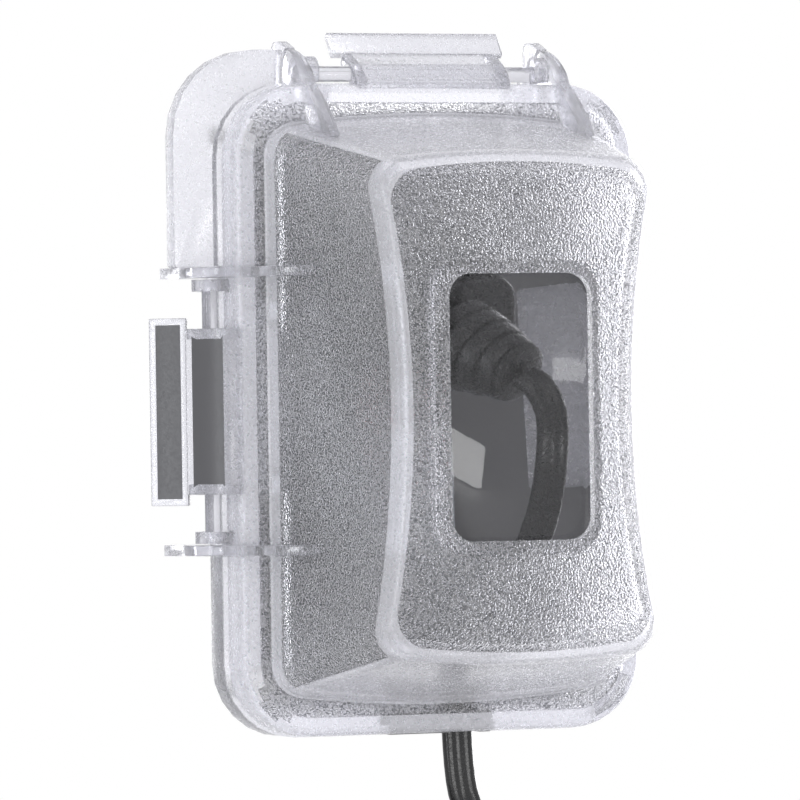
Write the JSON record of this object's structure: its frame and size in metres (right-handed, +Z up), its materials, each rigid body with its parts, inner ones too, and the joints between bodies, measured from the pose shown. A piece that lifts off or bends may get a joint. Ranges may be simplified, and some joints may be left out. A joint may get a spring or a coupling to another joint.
{
  "type": "weatherproof in-use receptacle cover",
  "caption": "Weatherproof gfci outlet: a clear frosted bubble lid hinged on a wall base, a decorator receptacle with test and reset buttons inside, and a black plug and cord leaving below.",
  "frame": {"origin": "centre of the face that lies on the wall, at the middle of the wall box opening", "axes": "+Y into the wall, -Y towards the user, +Z up along the cover's long side, +X to the right seen from the front"},
  "size_m": [0.1165, 0.093, 0.274],
  "materials": {
    "foam": "pale closed-cell foam, matt",
    "frosted": "clear polycarbonate moulded with a fine frosted texture",
    "clear": "polished clear polycarbonate",
    "grey": "matt grey moulding",
    "zinc": "zinc-plated steel",
    "white": "smooth white nylon",
    "red": "red",
    "green": "green",
    "brass": "bright brass",
    "board": "green laminate",
    "copper": "copper-coloured enamelled wire, wound solid",
    "smoky": "polished, lightly smoked clear polycarbonate",
    "black": "black flexible vinyl with a soft sheen"
  },
  "bodies": {
    "base": {"wall_gasket": "foam", "back_plate": "frosted", "insert_plate": "grey", "insert_clip_left": "white", "insert_clip_right": "white", "wall_screw_1": "zinc", "wall_screw_2": "zinc", "wall_screw_3": "zinc", "wall_screw_4": "zinc", "cord_port_seal": "grey", "device_strap": "zinc", "strap_screw_top": "zinc", "strap_screw_bottom": "zinc", "receptacle_face": "white", "receptacle_body": "grey", "status_lens": "green", "terminal_screw_line_hot": "brass", "terminal_screw_load_hot": "brass", "terminal_screw_line_neutral": "zinc", "terminal_screw_load_neutral": "zinc", "ground_screw": "green", "neutral_contact": "brass", "hot_contact": "brass", "ground_contact": "brass", "circuit_board": "board", "sensing_coil": "copper", "trip_solenoid": "copper", "top_hinge_pin": "clear", "side_latch_pin": "clear", "plug_body": "black", "plug_blade_neutral": "brass", "plug_blade_hot": "brass", "plug_strain_relief": "black", "supply_cord": "black", "cord_coil": "black", "cord_tail": "black", "coil_tie": "black", "connector_relief": "black", "cord_connector": "black"},
    "lid": {"lid_shell": "frosted", "window_pane": "smoky"},
    "test_button": {"test_button": "black"},
    "reset_button": {"reset_button": "red"}
  },
  "joints": [
    {"name": "lid_hinge", "type": "hinge", "parent": "base", "child": "lid", "pos_m": [0, -0.0125, 0.0774], "axis": [-1, 0, 0], "range_deg": [0, 105]},
    {"name": "test_press", "type": "slide", "parent": "base", "child": "test_button", "axis": [0, 1, 0], "range_m": [0, 0.0015], "stiffness_N_per_m": 500},
    {"name": "reset_press", "type": "slide", "parent": "base", "child": "reset_button", "axis": [0, 1, 0], "range_m": [0, 0.0015], "stiffness_N_per_m": 500}
  ]
}
